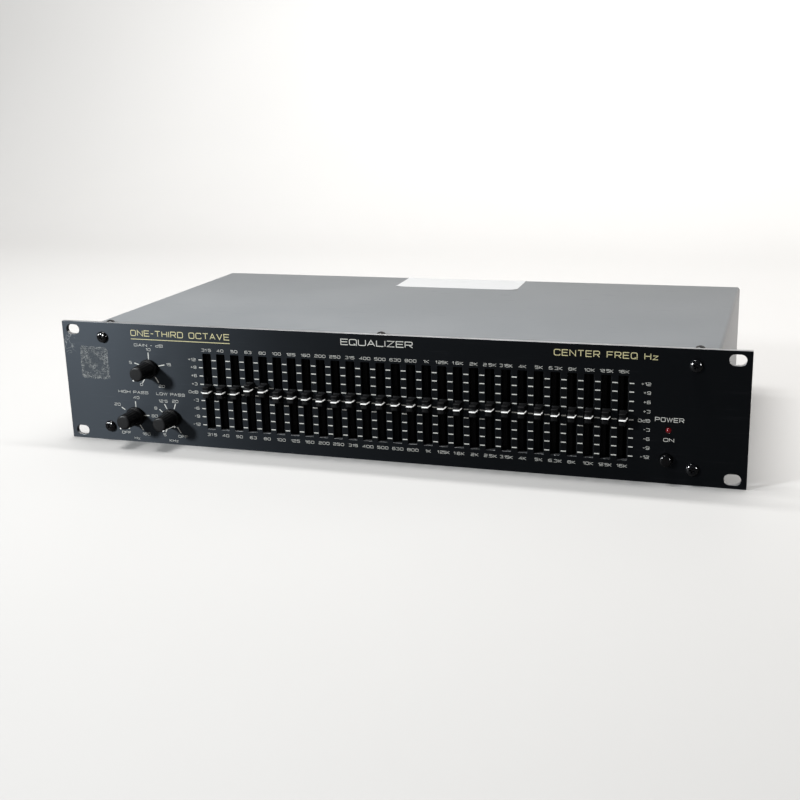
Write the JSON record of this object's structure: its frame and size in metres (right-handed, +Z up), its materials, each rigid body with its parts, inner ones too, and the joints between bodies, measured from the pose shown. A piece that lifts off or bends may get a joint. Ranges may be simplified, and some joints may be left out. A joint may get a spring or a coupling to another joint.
{
  "type": "graphic equalizer",
  "caption": "Rack-mount graphic equalizer: black slotted front panel with a bank of band sliders, rotary filter and gain knobs and a power button, on a grey folded chassis.",
  "frame": {"origin": "centre of the chassis underside", "axes": "+X to the right seen from the front, +Y from the front panel to the back, +Z up"},
  "size_m": [0.4826, 0.2628, 0.0881],
  "materials": {
    "panel_paint": "satin black finish over an aluminium plate, with a blue-grey sheen at a low angle",
    "cover_paint": "smooth grey paint",
    "zinc_steel": "zinc plated",
    "cap_plastic": "moulded, satin",
    "knob_plastic": "moulded, satin",
    "black_screw": "black oxide, semi-gloss",
    "gloss_black": "polished",
    "red_lens": "clear red",
    "circuit_board": "solder mask over glass laminate",
    "winding_tape": "polyester tape",
    "black_plastic": "moulded",
    "nickel_plate": "satin nickel",
    "legend_ink": "screen-printed cream ink",
    "label_paper": "blank adhesive label"
  },
  "bodies": {
    "root": {"front_panel": "panel_paint", "chassis_tray": "zinc_steel", "top_cover": "cover_paint", "rear_panel": "cover_paint", "slider_board": "circuit_board", "main_board": "circuit_board", "transformer_core": "zinc_steel", "transformer_winding": "winding_tape", "power_inlet": "black_plastic", "fuse_holder": "black_plastic", "terminal_strip": "black_plastic", "input_socket": "nickel_plate", "output_socket": "nickel_plate", "power_switch": "black_plastic", "power_led": "red_lens", "gain_pot": "zinc_steel", "high_pass_pot": "zinc_steel", "low_pass_pot": "zinc_steel", "front_screw_upper_left": "black_screw", "front_screw_upper_right": "black_screw", "front_screw_lower_left": "black_screw", "front_screw_lower_right": "black_screw", "cover_screw_left": "black_screw", "cover_screw_middle": "black_screw", "cover_screw_right": "black_screw"},
    "slider_31_5_hz": {"slider_31_5_hz": "cap_plastic"},
    "slider_40_hz": {"slider_40_hz": "cap_plastic"},
    "slider_50_hz": {"slider_50_hz": "cap_plastic"},
    "slider_63_hz": {"slider_63_hz": "cap_plastic"},
    "slider_80_hz": {"slider_80_hz": "cap_plastic"},
    "slider_100_hz": {"slider_100_hz": "cap_plastic"},
    "slider_125_hz": {"slider_125_hz": "cap_plastic"},
    "slider_160_hz": {"slider_160_hz": "cap_plastic"},
    "slider_200_hz": {"slider_200_hz": "cap_plastic"},
    "slider_250_hz": {"slider_250_hz": "cap_plastic"},
    "slider_315_hz": {"slider_315_hz": "cap_plastic"},
    "slider_400_hz": {"slider_400_hz": "cap_plastic"},
    "slider_500_hz": {"slider_500_hz": "cap_plastic"},
    "slider_630_hz": {"slider_630_hz": "cap_plastic"},
    "slider_800_hz": {"slider_800_hz": "cap_plastic"},
    "slider_1_khz": {"slider_1_khz": "cap_plastic"},
    "slider_1_25_khz": {"slider_1_25_khz": "cap_plastic"},
    "slider_1_6_khz": {"slider_1_6_khz": "cap_plastic"},
    "slider_2_khz": {"slider_2_khz": "cap_plastic"},
    "slider_2_5_khz": {"slider_2_5_khz": "cap_plastic"},
    "slider_3_15_khz": {"slider_3_15_khz": "cap_plastic"},
    "slider_4_khz": {"slider_4_khz": "cap_plastic"},
    "slider_5_khz": {"slider_5_khz": "cap_plastic"},
    "slider_6_3_khz": {"slider_6_3_khz": "cap_plastic"},
    "slider_8_khz": {"slider_8_khz": "cap_plastic"},
    "slider_10_khz": {"slider_10_khz": "cap_plastic"},
    "slider_12_5_khz": {"slider_12_5_khz": "cap_plastic"},
    "slider_16_khz": {"slider_16_khz": "cap_plastic"},
    "gain_control": {"gain_knob": "knob_plastic", "gain_shaft": "zinc_steel"},
    "high_pass_control": {"high_pass_knob": "knob_plastic", "high_pass_shaft": "zinc_steel"},
    "low_pass_control": {"low_pass_knob": "knob_plastic", "low_pass_shaft": "zinc_steel"},
    "power_button": {"power_button": "gloss_black"}
  },
  "joints": [
    {"name": "slide_31_5_hz", "type": "slide", "parent": "root", "child": "slider_31_5_hz", "axis": [0, 0, 1], "range_m": [-0.024, 0.0236]},
    {"name": "slide_40_hz", "type": "slide", "parent": "root", "child": "slider_40_hz", "axis": [0, 0, 1], "range_m": [-0.024, 0.0236]},
    {"name": "slide_50_hz", "type": "slide", "parent": "root", "child": "slider_50_hz", "axis": [0, 0, 1], "range_m": [-0.0243, 0.0233]},
    {"name": "slide_63_hz", "type": "slide", "parent": "root", "child": "slider_63_hz", "axis": [0, 0, 1], "range_m": [-0.0273, 0.0203]},
    {"name": "slide_80_hz", "type": "slide", "parent": "root", "child": "slider_80_hz", "axis": [0, 0, 1], "range_m": [-0.0271, 0.0205]},
    {"name": "slide_100_hz", "type": "slide", "parent": "root", "child": "slider_100_hz", "axis": [0, 0, 1], "range_m": [-0.0236, 0.024]},
    {"name": "slide_125_hz", "type": "slide", "parent": "root", "child": "slider_125_hz", "axis": [0, 0, 1], "range_m": [-0.024, 0.0236]},
    {"name": "slide_160_hz", "type": "slide", "parent": "root", "child": "slider_160_hz", "axis": [0, 0, 1], "range_m": [-0.0238, 0.0238]},
    {"name": "slide_200_hz", "type": "slide", "parent": "root", "child": "slider_200_hz", "axis": [0, 0, 1], "range_m": [-0.0233, 0.0243]},
    {"name": "slide_250_hz", "type": "slide", "parent": "root", "child": "slider_250_hz", "axis": [0, 0, 1], "range_m": [-0.0232, 0.0244]},
    {"name": "slide_315_hz", "type": "slide", "parent": "root", "child": "slider_315_hz", "axis": [0, 0, 1], "range_m": [-0.024, 0.0236]},
    {"name": "slide_400_hz", "type": "slide", "parent": "root", "child": "slider_400_hz", "axis": [0, 0, 1], "range_m": [-0.0235, 0.0241]},
    {"name": "slide_500_hz", "type": "slide", "parent": "root", "child": "slider_500_hz", "axis": [0, 0, 1], "range_m": [-0.0238, 0.0238]},
    {"name": "slide_630_hz", "type": "slide", "parent": "root", "child": "slider_630_hz", "axis": [0, 0, 1], "range_m": [-0.0237, 0.0239]},
    {"name": "slide_800_hz", "type": "slide", "parent": "root", "child": "slider_800_hz", "axis": [0, 0, 1], "range_m": [-0.0237, 0.0239]},
    {"name": "slide_1_khz", "type": "slide", "parent": "root", "child": "slider_1_khz", "axis": [0, 0, 1], "range_m": [-0.0239, 0.0237]},
    {"name": "slide_1_25_khz", "type": "slide", "parent": "root", "child": "slider_1_25_khz", "axis": [0, 0, 1], "range_m": [-0.0235, 0.0241]},
    {"name": "slide_1_6_khz", "type": "slide", "parent": "root", "child": "slider_1_6_khz", "axis": [0, 0, 1], "range_m": [-0.0232, 0.0244]},
    {"name": "slide_2_khz", "type": "slide", "parent": "root", "child": "slider_2_khz", "axis": [0, 0, 1], "range_m": [-0.0227, 0.0249]},
    {"name": "slide_2_5_khz", "type": "slide", "parent": "root", "child": "slider_2_5_khz", "axis": [0, 0, 1], "range_m": [-0.0241, 0.0235]},
    {"name": "slide_3_15_khz", "type": "slide", "parent": "root", "child": "slider_3_15_khz", "axis": [0, 0, 1], "range_m": [-0.0241, 0.0235]},
    {"name": "slide_4_khz", "type": "slide", "parent": "root", "child": "slider_4_khz", "axis": [0, 0, 1], "range_m": [-0.0241, 0.0235]},
    {"name": "slide_5_khz", "type": "slide", "parent": "root", "child": "slider_5_khz", "axis": [0, 0, 1], "range_m": [-0.0241, 0.0235]},
    {"name": "slide_6_3_khz", "type": "slide", "parent": "root", "child": "slider_6_3_khz", "axis": [0, 0, 1], "range_m": [-0.0237, 0.0239]},
    {"name": "slide_8_khz", "type": "slide", "parent": "root", "child": "slider_8_khz", "axis": [0, 0, 1], "range_m": [-0.0236, 0.024]},
    {"name": "slide_10_khz", "type": "slide", "parent": "root", "child": "slider_10_khz", "axis": [0, 0, 1], "range_m": [-0.0238, 0.0238]},
    {"name": "slide_12_5_khz", "type": "slide", "parent": "root", "child": "slider_12_5_khz", "axis": [0, 0, 1], "range_m": [-0.024, 0.0236]},
    {"name": "slide_16_khz", "type": "slide", "parent": "root", "child": "slider_16_khz", "axis": [0, 0, 1], "range_m": [-0.0235, 0.0241]},
    {"name": "gain_turn", "type": "hinge", "parent": "root", "child": "gain_control", "pos_m": [-0.1723, -0.1192, 0.0527], "axis": [0, 1, 0], "range_deg": [0, 295]},
    {"name": "high_pass_turn", "type": "hinge", "parent": "root", "child": "high_pass_control", "pos_m": [-0.1863, -0.1192, 0.0166], "axis": [0, 1, 0], "range_deg": [0, 295]},
    {"name": "low_pass_turn", "type": "hinge", "parent": "root", "child": "low_pass_control", "pos_m": [-0.1574, -0.1192, 0.0168], "axis": [0, 1, 0], "range_deg": [-295, 0]},
    {"name": "power_press", "type": "slide", "parent": "root", "child": "power_button", "axis": [0, 1, 0], "range_m": [0, 0.003]}
  ]
}
